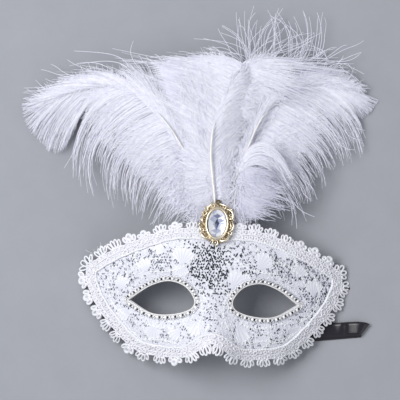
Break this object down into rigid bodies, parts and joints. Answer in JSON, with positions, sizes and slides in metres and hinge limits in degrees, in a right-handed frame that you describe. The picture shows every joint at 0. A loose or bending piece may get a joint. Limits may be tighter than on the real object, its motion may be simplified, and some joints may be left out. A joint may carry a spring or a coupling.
{
  "type": "lace masquerade mask",
  "caption": "White half mask covered in silver-flecked lace, with a looped lace border, silver braid round the eyes, a gold brooch with a clear stone and white plumes.",
  "frame": {"origin": "middle of the underside of the whole part, feathers and ribbons included, on the table it lies on", "axes": "the mask lies face up: +Z out of the face, +X towards the wearer's left temple, as the viewer sees it to the right, and +Y from the nose notch to the feathers"},
  "size_m": [0.248, 0.2538, 0.0529],
  "materials": {
    "moulded_plastic": "satin",
    "foil_lace": "satin",
    "guipure_lace": "matte",
    "silver_braid": "gloss",
    "black_satin": "satin",
    "white_feather": "matte",
    "gold_plate": "polished",
    "clear_stone": "polished"
  },
  "bodies": {
    "root": {"mask_shell": "moulded_plastic", "lace_cover": "foil_lace", "lace_border": "guipure_lace", "eye_braid_left": "silver_braid", "eye_braid_right": "silver_braid", "ribbon_left": "black_satin", "ribbon_right": "black_satin", "plume_left": "white_feather", "plume_centre": "white_feather", "plume_right": "white_feather", "plume_back": "white_feather", "plume_curl": "white_feather", "brooch_setting": "gold_plate", "brooch_stone": "clear_stone"}
  },
  "joints": []
}
